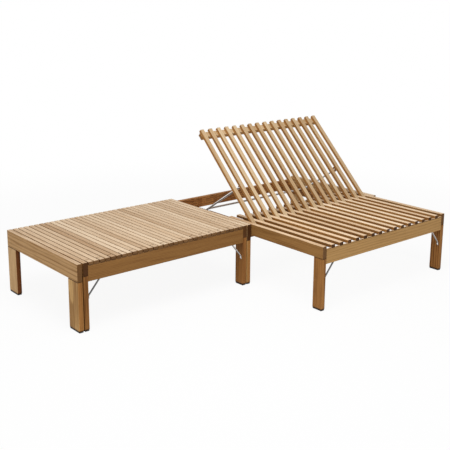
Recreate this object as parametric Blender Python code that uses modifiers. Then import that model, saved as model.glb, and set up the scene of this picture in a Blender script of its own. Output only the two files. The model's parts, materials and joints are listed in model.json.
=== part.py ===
"""Double sun lounger in teak: a low slatted base with two bays side by side.

Each bay has a seat that slides out to the front on its own legs, and a slatted back that tips up
on a hinge pin and is held by a folding steel prop. The left bay stands closed and flat, the right
bay is pulled out with its back raised. Pieces are placed as they lie in a closed bay and are
carried to where they stand by the empties of the slides, hinges and props.
"""
import math

import bmesh
import bpy
from mathutils import Matrix, Quaternion, Vector

MM = 0.001

# Strips and bays
STRIP = 24 * MM                 # thickness of every slat, board, rail and leg
STRIP_GAP = 5 * MM              # open gap between neighbouring strips
SEAT_SLATS = 15                 # slats of one seat; its back has one more, lying between them
EDGE = 1.4 * MM                 # eased edge of the timber

# Whole lounger
TOP_HEIGHT = 319 * MM
DEPTH = 682 * MM
SEAT_TRAVEL = 496 * MM
BACK_ANGLE = math.radians(45)

# Base
BOARD_HEIGHT = 82 * MM
BASE_LEG_WIDTH = 85 * MM
BACK_RAIL_BOTTOM = 76 * MM      # below the slat tops
BEAM_BEHIND_HINGE = 16 * MM     # hinge axis to the front face of the hinge beam
BEAM_BOTTOM = 96 * MM           # below the slat tops
BRACKET_THICKNESS = 6 * MM
BRACKET_STRIP = 4               # strips from the side rail to the first hinge bracket
BRACKET_EVERY = 4               # seat slats from one hinge bracket to the next
FOOT_HEIGHT = 6 * MM
FOOT_INSET = 1.5 * MM

# Seat
SLAT_HEIGHT = 17 * MM
SIDE_RAIL_HEIGHT = 60.5 * MM
SIDE_RAIL_REAR_GAP = 14 * MM    # rear of the deep part to the back rail when closed
FRONT_RAIL_BOTTOM = 88.5 * MM   # below the slat tops
FRONT_RAIL_SETBACK = 0.8 * MM   # behind the slat ends
FRONT_RAIL_WALL = 8 * MM        # rear of the rail's thin top, ahead of the swinging slat ends
SEAT_LEG_WIDTH = 58.5 * MM
BRACE_RADIUS = 4 * MM
BRACE_ALONG = 74 * MM           # along the rail
BRACE_DOWN = 66 * MM            # down the leg
BRACE_TAB = 12 * MM
BRACE_BEND = 9 * MM

# Back
HINGE_FROM_FRONT = 52 * MM
HINGE_DROP = 27 * MM            # hinge axis below the slats
HINGE_PIN_RADIUS = 5 * MM
HINGE_BLOCK_LENGTH = 22 * MM
HINGE_BLOCK_DROP = 10 * MM      # below the hinge axis
TIP_SHORT = 10 * MM             # back slat tips to the far edge of the base
BATTEN_WIDTH = 18 * MM
BATTEN_HEIGHT = 15 * MM
BATTEN_FROM_TIP = 23 * MM

# Prop
ROD_RADIUS = 5.5 * MM
ROD_BEND = 8 * MM
PROP_STRIP = 3                  # strips from the side rail to a prop arm
PROP_REACH = 241 * MM           # hinge axis to the prop's pivot, along the slats
PROP_DROP = 9.5 * MM            # pivot below the slats
PROP_BLOCK_LENGTH = 26 * MM
PROP_BLOCK_HEIGHT = 19 * MM
CROSSBAR_FROM_FOOT = 24 * MM
CROSSBAR_LOW = 30 * MM          # below the slat tops when the back is raised
PROP_STOW_GAP = 7 * MM          # folded foot to the top batten
RACK_TEETH = 9
RACK_SHARE = 0.88               # share of the prop's run that is stepped

# Clearances
FIT = 0.3 * MM                  # between pieces that bear on one another
HOUSING = 3 * MM                # rails and blocks let into the slats they are glued to
TURN_FIT = 0.45 * MM            # round a pin that turns
SWING_GAP = 1.5 * MM            # slat ends to the front rail as the back swings
NOTCH_GAP = 3.5 * MM            # slat ends to the floor of the front rail's rebate
LIFT_GAP = 3 * MM               # top batten to the ends of the seat slats as the back lifts
FOOT_RUN = 0.8 * MM             # prop feet to the rack as they run along it
BATTEN_RUN = 1.5 * MM           # rack to the top batten

# Levels and stations that follow from these sizes
PITCH = STRIP + STRIP_GAP
BACK_SLATS = SEAT_SLATS + 1
BAY_STRIPS = SEAT_SLATS + BACK_SLATS + 2
MIDDLE_STRIP = BAY_STRIPS + 1
LAST_STRIP = 2 * MIDDLE_STRIP
LENGTH = LAST_STRIP * PITCH + STRIP
SLAT_UNDER = TOP_HEIGHT - SLAT_HEIGHT
BEARING = SLAT_UNDER - FIT
BOARD_UNDER = TOP_HEIGHT - BOARD_HEIGHT
SIDE_RAIL_UNDER = TOP_HEIGHT - SIDE_RAIL_HEIGHT
FRONT_RAIL_UNDER = TOP_HEIGHT - FRONT_RAIL_BOTTOM
BACK_RAIL_UNDER = TOP_HEIGHT - BACK_RAIL_BOTTOM
BACK_RAIL_FACE = DEPTH - STRIP
HINGE_HEIGHT = SLAT_UNDER - HINGE_DROP
HINGE_DEPTH = TOP_HEIGHT - HINGE_HEIGHT
BEAM_FACE = HINGE_FROM_FRONT + BEAM_BEHIND_HINGE
BEAM_REAR = BEAM_FACE + STRIP
SLAT_SWING = HINGE_FROM_FRONT - FRONT_RAIL_WALL - SWING_GAP
SLAT_TAIL = (SLAT_SWING - HINGE_DEPTH * math.sin(BACK_ANGLE)) / math.cos(BACK_ANGLE)
BACK_FRONT = HINGE_FROM_FRONT - SLAT_TAIL
BACK_TIP = DEPTH - TIP_SHORT
BATTEN_REAR = BACK_TIP - BATTEN_FROM_TIP
BATTEN_FRONT = BATTEN_REAR - BATTEN_WIDTH
BATTEN_UNDER = BEARING - BATTEN_HEIGHT
SEAT_SLAT_REAR = BATTEN_FRONT - LIFT_GAP
PROP_FROM_FRONT = HINGE_FROM_FRONT + PROP_REACH
PROP_HEIGHT = SLAT_UNDER - PROP_DROP
ARM_LENGTH = BATTEN_FRONT - PROP_STOW_GAP - PROP_FROM_FRONT
CROSSBAR_REACH = ARM_LENGTH - CROSSBAR_FROM_FOOT


def on_back(along, above, angle):
    """Where a point of the back lies, seen from the side, when the back is tipped by an angle."""
    y = HINGE_FROM_FRONT + along * math.cos(angle) - above * math.sin(angle)
    z = HINGE_HEIGHT + along * math.sin(angle) + above * math.cos(angle)
    return y, z


PIVOT_ABOVE = PROP_HEIGHT - HINGE_HEIGHT
RAISED_PIVOT = on_back(PROP_REACH, PIVOT_ABOVE, BACK_ANGLE)
PROP_SLOPE = math.asin((RAISED_PIVOT[1] - TOP_HEIGHT + CROSSBAR_LOW) / CROSSBAR_REACH)
PROP_ANGLE = BACK_ANGLE + PROP_SLOPE
REBATE_FLOOR = on_back(BACK_FRONT - HINGE_FROM_FRONT, HINGE_DROP, BACK_ANGLE)[1] - NOTCH_GAP


def foot_under(share):
    """The lowest point of a prop foot with the back raised by a share of its angle."""
    y, z = on_back(PROP_REACH, PIVOT_ABOVE, share * BACK_ANGLE)
    slope = share * PROP_SLOPE
    low = z - ARM_LENGTH * math.sin(slope) - ROD_RADIUS * math.cos(slope)
    return y + ARM_LENGTH * math.cos(slope), low


def strip_left(strip):
    """The left face of a strip, counted from the left end board."""
    return strip * PITCH


def strip_span(strip):
    """The left and right faces of a strip."""
    return strip_left(strip), strip_left(strip) + STRIP


def new_material(name, colour, roughness, metallic=0.0):
    """A plain material in the part's colour."""
    material = bpy.data.materials.new(name)
    material.use_nodes = True
    shader = material.node_tree.nodes["Principled BSDF"]
    shader.inputs["Base Color"].default_value = (*colour, 1.0)
    shader.inputs["Roughness"].default_value = roughness
    shader.inputs["Metallic"].default_value = metallic
    return material


def link(obj, carrier, material, collection):
    """Puts a piece on its carrier and gives it its material."""
    obj.data.materials.append(material)
    collection.objects.link(obj)
    obj.parent = carrier
    return obj


def new_carrier(name, closed_origin, parent=None, slide=0.0, turn=0.0):
    """An empty at a joint: it slides its pieces to the front or turns them about the X axis."""
    carrier = bpy.data.objects.new(name, None)
    carrier.empty_display_size = 0.05
    lounger.objects.link(carrier)
    carrier["closed_origin"] = closed_origin
    offset = Vector(closed_origin)
    if parent:
        carrier.parent = parent
        offset -= Vector(parent["closed_origin"])
    carrier.location = offset - Vector((0.0, slide, 0.0))
    carrier.rotation_euler.x = turn
    return carrier


def add_bevel(obj, width):
    """Eases the sharp edges of a piece."""
    bevel = obj.modifiers.new("eased_edges", "BEVEL")
    bevel.width = width
    bevel.segments = 1
    bevel.limit_method = "ANGLE"
    bevel.angle_limit = math.radians(40)


def add_box(name, carrier, x, y, z, material, edge=EDGE, collection=None):
    """A squared timber between two faces along each axis."""
    low = Vector((x[0], y[0], z[0]))
    high = Vector((x[1], y[1], z[1]))
    mesh = bpy.data.meshes.new(name)
    bm = bmesh.new()
    bmesh.ops.create_cube(bm, size=1.0, matrix=Matrix.Diagonal((*(high - low), 1.0)))
    bm.to_mesh(mesh)
    bm.free()
    obj = link(bpy.data.objects.new(name, mesh), carrier, material, collection or lounger)
    obj.location = (low + high) / 2 - Vector(carrier["closed_origin"])
    if edge:
        add_bevel(obj, edge)
    return obj


def add_cylinder(name, carrier, start, end, radius, material, collection=None):
    """A straight round bar from one point to another."""
    start = Vector(start)
    end = Vector(end)
    mesh = bpy.data.meshes.new(name)
    bm = bmesh.new()
    bmesh.ops.create_cone(
        bm, cap_ends=True, segments=16, radius1=radius, radius2=radius, depth=(end - start).length
    )
    bm.to_mesh(mesh)
    bm.free()
    obj = link(bpy.data.objects.new(name, mesh), carrier, material, collection or lounger)
    obj.rotation_mode = "QUATERNION"
    obj.rotation_quaternion = (end - start).to_track_quat("Z", "Y")
    obj.location = (start + end) / 2 - Vector(carrier["closed_origin"])
    return obj


def add_profile(name, carrier, outlines, span, material, along="X", edge=0.0):
    """A section drawn from the side (along X) or from the front (along Y), run out over a span."""
    curve = bpy.data.curves.new(name, "CURVE")
    curve.dimensions = "2D"
    curve.fill_mode = "BOTH"
    curve.extrude = (span[1] - span[0]) / 2
    for outline in outlines:
        spline = curve.splines.new("POLY")
        spline.points.add(len(outline) - 1)
        for point, (across, up) in zip(spline.points, outline):
            point.co = (across, up, 0.0, 1.0)
        spline.use_cyclic_u = True
    obj = link(bpy.data.objects.new(name, curve), carrier, material, lounger)
    middle = (span[0] + span[1]) / 2
    if along == "X":
        obj.rotation_euler = (math.pi / 2, 0.0, math.pi / 2)
        place = Vector((middle, 0.0, 0.0))
    else:
        obj.rotation_euler = (math.pi / 2, 0.0, 0.0)
        place = Vector((0.0, middle, 0.0))
    obj.location = place - Vector(carrier["closed_origin"])
    weld = obj.modifiers.new("closed_caps", "WELD")
    weld.merge_threshold = 0.00001
    if edge:
        add_bevel(obj, edge)
    return obj


def add_rod(name, carrier, points, radius, bend, material):
    """A steel rod bent to a radius at the corners of a path."""
    origin = Vector(carrier["closed_origin"])
    curve = bpy.data.curves.new(name, "CURVE")
    curve.dimensions = "3D"
    curve.bevel_depth = radius
    curve.bevel_resolution = 2
    curve.use_fill_caps = True
    path = bent([Vector(point) - origin for point in points], bend)
    spline = curve.splines.new("POLY")
    spline.points.add(len(path) - 1)
    for point, place in zip(spline.points, path):
        point.co = (*place, 1.0)
    obj = link(bpy.data.objects.new(name, curve), carrier, material, lounger)
    weld = obj.modifiers.new("closed_caps", "WELD")
    weld.merge_threshold = 0.00001
    return obj


def bent(points, bend, steps=5):
    """The path with its corners rounded."""
    path = [points[0]]
    for before, corner, after in zip(points, points[1:], points[2:]):
        back = (before - corner).normalized()
        ahead = (after - corner).normalized()
        half = back.angle(ahead) / 2
        centre = corner + (back + ahead).normalized() * bend / math.sin(half)
        start = corner + back * bend / math.tan(half) - centre
        axis = back.cross(ahead)
        for step in range(steps + 1):
            turn = Quaternion(axis, -(math.pi - 2 * half) * step / steps)
            path.append(centre + turn @ start)
    path.append(points[-1])
    return path


def repeat(obj, count, step):
    """Repeats a piece at a constant step in its own axes."""
    array = obj.modifiers.new("repeat", "ARRAY")
    array.use_relative_offset = False
    array.use_constant_offset = True
    array.constant_offset_displace = step
    array.count = count
    return obj


def combine(obj, other, operation):
    """Works another shape, kept out of sight, into a piece."""
    boolean = obj.modifiers.new(operation.lower(), "BOOLEAN")
    boolean.operation = operation
    boolean.solver = "EXACT"
    boolean.object = other
    other.hide_render = True
    other.display_type = "WIRE"


def join(obj, other):
    """Glues or welds another shape to a piece."""
    combine(obj, other, "UNION")


def cut(obj, other):
    """Takes another shape out of a piece."""
    combine(obj, other, "DIFFERENCE")


def rectangle(low_y, high_y, low_z, high_z):
    """An upright rectangle seen from the side."""
    return [(low_y, low_z), (high_y, low_z), (high_y, high_z), (low_y, high_z)]


def ring(centre, radius, sides=16):
    """A round hole seen from the side."""
    turns = [2 * math.pi * (side + 0.5) / sides for side in range(sides)]
    return [(centre[0] + radius * math.cos(t), centre[1] + radius * math.sin(t)) for t in turns]


def build_base():
    """Boards, legs and feet that both bays share."""
    boards = (
        ("left", "left_end_board", 0),
        ("middle", "middle_board", MIDDLE_STRIP),
        ("right", "right_end_board", LAST_STRIP),
    )
    for side, name, strip in boards:
        across = strip_span(strip)
        add_box(name, base, across, (0.0, DEPTH), (BOARD_UNDER, TOP_HEIGHT), teak_board)
        for end, front in (("front", 0.0), ("back", DEPTH - BASE_LEG_WIDTH)):
            add_leg(
                f"{end}_leg_{side}", f"{end}_foot_{side}", base, across, front, BASE_LEG_WIDTH, BOARD_UNDER
            )


def add_leg(name, foot_name, carrier, across, front, width, top):
    """A leg under a board or rail, with its foot pad."""
    add_box(name, carrier, across, (front, front + width), (FOOT_HEIGHT + FIT, top - FIT), teak_leg)
    add_box(
        foot_name, carrier, (across[0] + FOOT_INSET, across[1] - FOOT_INSET),
        (front + FOOT_INSET, front + width - FOOT_INSET), (0.0, FOOT_HEIGHT), rubber, FOOT_INSET / 2,
    )


def build_bay_frame(bay, first):
    """What the base holds inside one bay: rails, hinge pin and brackets, runners and racks."""
    last = first + BAY_STRIPS - 1
    wide = (strip_left(first) - STRIP_GAP + FIT, strip_left(last) + PITCH - FIT)
    inner = (strip_left(first + 1) - FIT, strip_left(last) - STRIP_GAP + FIT)
    add_box(
        f"{bay}_back_rail", base, wide, (BACK_RAIL_FACE, DEPTH), (BACK_RAIL_UNDER, BEARING), teak_rail,
        EDGE / 2,
    )
    beam_under = TOP_HEIGHT - BEAM_BOTTOM
    rail_bearing = SIDE_RAIL_UNDER - FIT
    beam = [
        (wide[0], beam_under), (wide[1], beam_under), (wide[1], rail_bearing), (inner[1], rail_bearing),
        (inner[1], BEARING), (inner[0], BEARING), (inner[0], rail_bearing), (wide[0], rail_bearing),
    ]
    add_profile(
        f"{bay}_hinge_beam", base, [beam], (BEAM_FACE, BEAM_REAR), teak_rail, "Y", EDGE / 2
    )
    axis = (HINGE_FROM_FRONT, HINGE_HEIGHT)
    pin = add_cylinder(
        f"{bay}_hinge_pin", base, (strip_left(first + 1), *axis), (strip_left(last) - STRIP_GAP, *axis),
        HINGE_PIN_RADIUS, steel,
    )
    plate_left = strip_left(first + BRACKET_STRIP) + (STRIP - BRACKET_THICKNESS) / 2
    plates = add_box(
        f"{bay}_hinge_plates", base, (plate_left, plate_left + BRACKET_THICKNESS),
        (HINGE_FROM_FRONT - 2 * HINGE_PIN_RADIUS, BEAM_FACE - FIT),
        (SIDE_RAIL_UNDER, HINGE_HEIGHT + 2 * HINGE_PIN_RADIUS), steel, 0.0, cutters,
    )
    repeat(plates, (SEAT_SLATS - 2) // BRACKET_EVERY + 1, (2 * BRACKET_EVERY * PITCH, 0.0, 0.0))
    join(pin, plates)
    run = (BEAM_REAR + FIT, BACK_RAIL_FACE - FIT)
    sides = (
        ("left", (wide[0], strip_left(first) + STRIP), first + PROP_STRIP),
        ("right", (strip_left(last), wide[1]), last - PROP_STRIP),
    )
    for side, across, rack_strip in sides:
        add_box(
            f"{bay}_{side}_runner", base, across, run, (BOARD_UNDER, rail_bearing), teak_rail, EDGE / 2
        )
        add_profile(
            f"{bay}_{side}_rack", base, [rack_outline(run)], strip_span(rack_strip), teak_rail
        )


def rack_outline(run):
    """A rack from the side: steps that climb to the back just under the run of the prop's foot."""
    treads = [foot_under(1.0 - RACK_SHARE * tooth / RACK_TEETH) for tooth in range(RACK_TEETH + 1)]
    ceiling = BATTEN_UNDER - BATTEN_RUN
    outline = [(run[0], BACK_RAIL_UNDER), (run[1], BACK_RAIL_UNDER)]
    level = min(treads[-1][1] - FOOT_RUN, ceiling)
    outline.append((run[1], level))
    for ahead, behind in reversed(list(zip(treads, treads[1:]))):
        riser = behind[0] - ROD_RADIUS
        step = min(ahead[1] - FOOT_RUN, ceiling)
        if level - step > FIT:
            outline.append((riser, level))
            outline.append((riser, step))
            level = step
    outline.append((run[0], level))
    return outline


def build_seat(bay, first, carrier):
    """One seat: two side rails tongued at the rear, legs with steel braces, and slats housed on a front rail."""
    last = first + BAY_STRIPS - 1
    rear = BACK_RAIL_FACE - SIDE_RAIL_REAR_GAP
    face = {"left": strip_left(first) + STRIP, "right": strip_left(last)}
    for side, strip, inward in (("left", first, 1.0), ("right", last, -1.0)):
        across = strip_span(strip)
        rail = [
            (0.0, SIDE_RAIL_UNDER), (rear, SIDE_RAIL_UNDER), (rear, SLAT_UNDER), (DEPTH, SLAT_UNDER),
            (DEPTH, TOP_HEIGHT), (0.0, TOP_HEIGHT),
        ]
        add_profile(f"{bay}_seat_{side}_rail", carrier, [rail], across, teak_board, edge=EDGE)
        add_leg(
            f"{bay}_seat_{side}_leg", f"{bay}_seat_{side}_foot", carrier, across, 0.0, SEAT_LEG_WIDTH,
            SIDE_RAIL_UNDER,
        )
        wall = face[side] + inward * (BRACE_RADIUS + FIT)
        under = FRONT_RAIL_UNDER - BRACE_RADIUS - FIT
        corner = wall + inward * BRACE_ALONG
        middle = STRIP / 2
        brace = [
            (wall, middle, under - BRACE_DOWN - BRACE_TAB), (wall, middle, under - BRACE_DOWN),
            (corner, middle, under), (corner + inward * BRACE_TAB, middle, under),
        ]
        add_rod(f"{bay}_seat_{side}_brace", carrier, brace, BRACE_RADIUS, BRACE_BEND, steel)
    across = (face["left"] + FIT, face["right"] - FIT)
    slats = add_box(
        f"{bay}_seat_slats", carrier, strip_span(first + 2), (0.0, SEAT_SLAT_REAR), (SLAT_UNDER, TOP_HEIGHT),
        teak_slat, EDGE, cutters,
    )
    repeat(slats, SEAT_SLATS, (2 * PITCH, 0.0, 0.0))
    rebate = add_box(
        f"{bay}_front_rebate", carrier, (across[0] - STRIP, across[1] + STRIP),
        (FRONT_RAIL_WALL, 2 * STRIP), (REBATE_FLOOR, TOP_HEIGHT), teak_rail, 0.0, cutters,
    )
    panel = add_box(
        f"{bay}_seat_panel", carrier, across, (FRONT_RAIL_SETBACK, STRIP),
        (FRONT_RAIL_UNDER, SLAT_UNDER + HOUSING), teak_slat, EDGE / 2,
    )
    cut(panel, rebate)
    join(panel, slats)


def build_back(bay, first, carrier):
    """One back: slats with bored hinge knuckles housed on a top batten, and the blocks of the prop."""
    lead = first + 1
    end = first + BAY_STRIPS - 2
    whole = (strip_left(lead), strip_left(end) + STRIP)
    slats = add_box(
        f"{bay}_back_slats", carrier, strip_span(lead), (BACK_FRONT, BACK_TIP), (SLAT_UNDER, TOP_HEIGHT),
        teak_slat, EDGE, cutters,
    )
    half = HINGE_BLOCK_LENGTH / 2
    inset = STRIP_GAP / 4
    knuckles = add_box(
        f"{bay}_back_knuckles", carrier, (whole[0] + inset, whole[0] + STRIP - inset),
        (HINGE_FROM_FRONT - half, HINGE_FROM_FRONT + half),
        (HINGE_HEIGHT - HINGE_BLOCK_DROP, SLAT_UNDER + HOUSING), teak_rail, 0.0, cutters,
    )
    for row in (slats, knuckles):
        repeat(row, BACK_SLATS, (2 * PITCH, 0.0, 0.0))
    bore = add_cylinder(
        f"{bay}_hinge_bore", carrier, (whole[0] - STRIP, HINGE_FROM_FRONT, HINGE_HEIGHT),
        (whole[1] + STRIP, HINGE_FROM_FRONT, HINGE_HEIGHT), HINGE_PIN_RADIUS + TURN_FIT, steel, cutters,
    )
    panel = add_box(
        f"{bay}_back_panel", carrier, (whole[0] + inset, whole[1] - inset), (BATTEN_FRONT, BATTEN_REAR),
        (BATTEN_UNDER, SLAT_UNDER + HOUSING), teak_slat,
    )
    join(panel, slats)
    join(panel, knuckles)
    cut(panel, bore)
    half = PROP_BLOCK_LENGTH / 2
    prop_block = rectangle(
        PROP_FROM_FRONT - half, PROP_FROM_FRONT + half, BEARING - PROP_BLOCK_HEIGHT, BEARING
    )
    eye = ring((PROP_FROM_FRONT, PROP_HEIGHT), ROD_RADIUS + TURN_FIT)
    near = strip_left(first + PROP_STRIP) + STRIP
    far = strip_left(first + BAY_STRIPS - 1 - PROP_STRIP)
    for side, across in (("left", (near - block_width(), near)), ("right", (far, far + block_width()))):
        add_profile(f"{bay}_back_{side}_prop_block", carrier, [prop_block, eye], across, teak_rail)


def block_width():
    """Width of a prop block, which leaves the arm room to bend beside it."""
    return STRIP - ROD_RADIUS - ROD_BEND - FIT


def build_prop(bay, first, carrier):
    """One prop: two arms bent into pivot pins and the crossbar between them."""
    lead = first + PROP_STRIP
    end = first + BAY_STRIPS - 1 - PROP_STRIP
    near = strip_left(lead) + ROD_RADIUS + FIT
    far = strip_left(end) + STRIP - ROD_RADIUS - FIT
    foot = PROP_FROM_FRONT + ARM_LENGTH
    for side, arm, inward in (("left", near, 1.0), ("right", far, -1.0)):
        tip = arm + inward * (STRIP - ROD_RADIUS - 4 * FIT)
        path = [
            (tip, PROP_FROM_FRONT, PROP_HEIGHT), (arm, PROP_FROM_FRONT, PROP_HEIGHT),
            (arm, foot, PROP_HEIGHT),
        ]
        add_rod(f"{bay}_prop_{side}_arm", carrier, path, ROD_RADIUS, ROD_BEND, steel)
    station = PROP_FROM_FRONT + CROSSBAR_REACH
    weld_gap = ROD_RADIUS + FIT
    bar = [(near + weld_gap, station, PROP_HEIGHT), (far - weld_gap, station, PROP_HEIGHT)]
    add_rod(f"{bay}_prop_crossbar", carrier, bar, ROD_RADIUS, ROD_BEND, steel)


for old in list(bpy.data.objects):
    bpy.data.objects.remove(old, do_unlink=True)

lounger = bpy.data.collections.new("teak_sun_lounger")
cutters = bpy.data.collections.new("cutters")
bpy.context.scene.collection.children.link(lounger)
bpy.context.scene.collection.children.link(cutters)

teak_slat = new_material("teak_slat", (0.62, 0.40, 0.22), 0.55)
teak_board = new_material("teak_board", (0.56, 0.34, 0.17), 0.55)
teak_leg = new_material("teak_leg", (0.60, 0.38, 0.20), 0.55)
teak_rail = new_material("teak_rail", (0.50, 0.29, 0.14), 0.58)
steel = new_material("brushed_steel", (0.62, 0.61, 0.59), 0.32, 1.0)
rubber = new_material("black_rubber", (0.02, 0.02, 0.02), 0.8)

base = new_carrier("base", (0.0, 0.0, 0.0))
base.location = (-LENGTH / 2, (SEAT_TRAVEL - DEPTH) / 2, 0.0)
build_base()
for bay, first, opened in (("left", 1, 0.0), ("right", MIDDLE_STRIP + 1, 1.0)):
    bay_left = strip_left(first)
    seat = new_carrier(f"{bay}_seat_slide", (bay_left, 0.0, 0.0), base, slide=opened * SEAT_TRAVEL)
    hinge = new_carrier(
        f"{bay}_back_hinge", (bay_left, HINGE_FROM_FRONT, HINGE_HEIGHT), base, turn=opened * BACK_ANGLE
    )
    prop = new_carrier(
        f"{bay}_prop_hinge", (bay_left, PROP_FROM_FRONT, PROP_HEIGHT), hinge, turn=-opened * PROP_ANGLE
    )
    build_bay_frame(bay, first)
    build_seat(bay, first, seat)
    build_back(bay, first, hinge)
    build_prop(bay, first, prop)
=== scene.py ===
"""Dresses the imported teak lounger: timber, steel and rubber finishes, fittings, studio and camera."""

import json
import logging
import math
from dataclasses import dataclass, replace
from enum import Enum
from typing import Any, Iterable, Sequence

import bmesh
import bpy
from mathutils import Matrix, Quaternion, Vector

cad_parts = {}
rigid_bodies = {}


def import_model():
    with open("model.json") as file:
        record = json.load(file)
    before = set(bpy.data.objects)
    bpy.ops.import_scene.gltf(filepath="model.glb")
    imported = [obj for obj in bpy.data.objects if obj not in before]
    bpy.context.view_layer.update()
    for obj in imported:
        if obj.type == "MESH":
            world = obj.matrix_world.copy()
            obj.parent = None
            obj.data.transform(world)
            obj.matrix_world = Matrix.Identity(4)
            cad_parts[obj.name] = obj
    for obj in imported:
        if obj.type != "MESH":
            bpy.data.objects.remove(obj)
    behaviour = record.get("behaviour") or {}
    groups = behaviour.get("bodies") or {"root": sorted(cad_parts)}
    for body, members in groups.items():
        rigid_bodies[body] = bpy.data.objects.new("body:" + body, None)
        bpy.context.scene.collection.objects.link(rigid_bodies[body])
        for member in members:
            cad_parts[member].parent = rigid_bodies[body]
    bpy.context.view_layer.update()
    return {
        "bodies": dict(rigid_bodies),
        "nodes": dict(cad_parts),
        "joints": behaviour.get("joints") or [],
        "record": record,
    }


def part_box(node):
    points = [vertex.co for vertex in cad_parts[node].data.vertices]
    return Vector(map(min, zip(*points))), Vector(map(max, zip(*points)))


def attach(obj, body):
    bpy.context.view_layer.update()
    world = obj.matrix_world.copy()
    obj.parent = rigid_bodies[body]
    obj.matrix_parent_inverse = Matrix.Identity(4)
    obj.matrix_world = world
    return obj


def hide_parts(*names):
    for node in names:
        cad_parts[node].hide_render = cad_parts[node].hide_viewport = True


LOG = logging.getLogger("lounger")
SEAT_SLATS = 15
Colour = tuple[float, float, float]
Place = tuple[float, float, float]
Outline = Sequence[tuple[float, float]]
Ring = Sequence[bmesh.types.BMVert]
Frame = dict[str, Any]
Settings = dict[str, Any]
Sockets = dict[str | int, Any]


class Grain(Enum):
    """Which way the fibres of a timber run in the closed lounger."""

    LENGTHWISE = "X"
    FRONT_TO_BACK = "Y"
    UPRIGHT = "Z"


class Side(Enum):
    """A side of a bay, with the direction from it into the bay."""

    LEFT = ("left", 1.0)
    RIGHT = ("right", -1.0)

    @property
    def word(self) -> str:
        """The word used in node names."""
        return self.value[0]

    @property
    def inward(self) -> float:
        """+1 where the bay lies towards +X, otherwise -1."""
        return self.value[1]


class Bay(Enum):
    """A bay of the lounger, with the strip of its first side rail."""

    LEFT = ("left", 1)
    RIGHT = ("right", 35)

    @property
    def word(self) -> str:
        """The word used in node names."""
        return self.value[0]

    @property
    def first(self) -> int:
        """The strip of its left side rail."""
        return self.value[1]


@dataclass(frozen=True)
class TeakFinish:
    """Oiled teak: colours in linear light and grain sizes in metres.

    The top colours are those of faces that look up, painted pale as light falling from above; the face
    colours are those of the sides, painted darker and redder as shade; the end colours are those of cut
    ends. The front tone is painted shade where it is below 1 and painted light where it is above 1, on
    upright faces that look to the front or back. The side light depth is how far down from the top of a
    slat its sides are painted as pale as its top, lightening the shade in the gaps. The contrast is how
    strongly the grain shows.
    """

    top_light: Colour = (0.66, 0.520, 0.372)
    top_dark: Colour = (0.372, 0.237, 0.128)
    face_light: Colour = (0.42, 0.225, 0.074)
    face_dark: Colour = (0.20, 0.085, 0.020)
    end_light: Colour = (0.160, 0.073, 0.025)
    end_dark: Colour = (0.058, 0.023, 0.007)
    cream: Colour = (1.13, 1.13, 1.12)
    russet: Colour = (0.87, 0.77, 0.66)
    front_tone: Colour | None = None
    bleach: float = 0.0
    contrast: float = 1.0
    ring_spacing: float = 0.0062
    streak_width: float = 0.0042
    pore_width: float = 0.0007
    strip_spread: float = 0.50
    rough: float = 0.50
    relief: float = 0.00025


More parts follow.
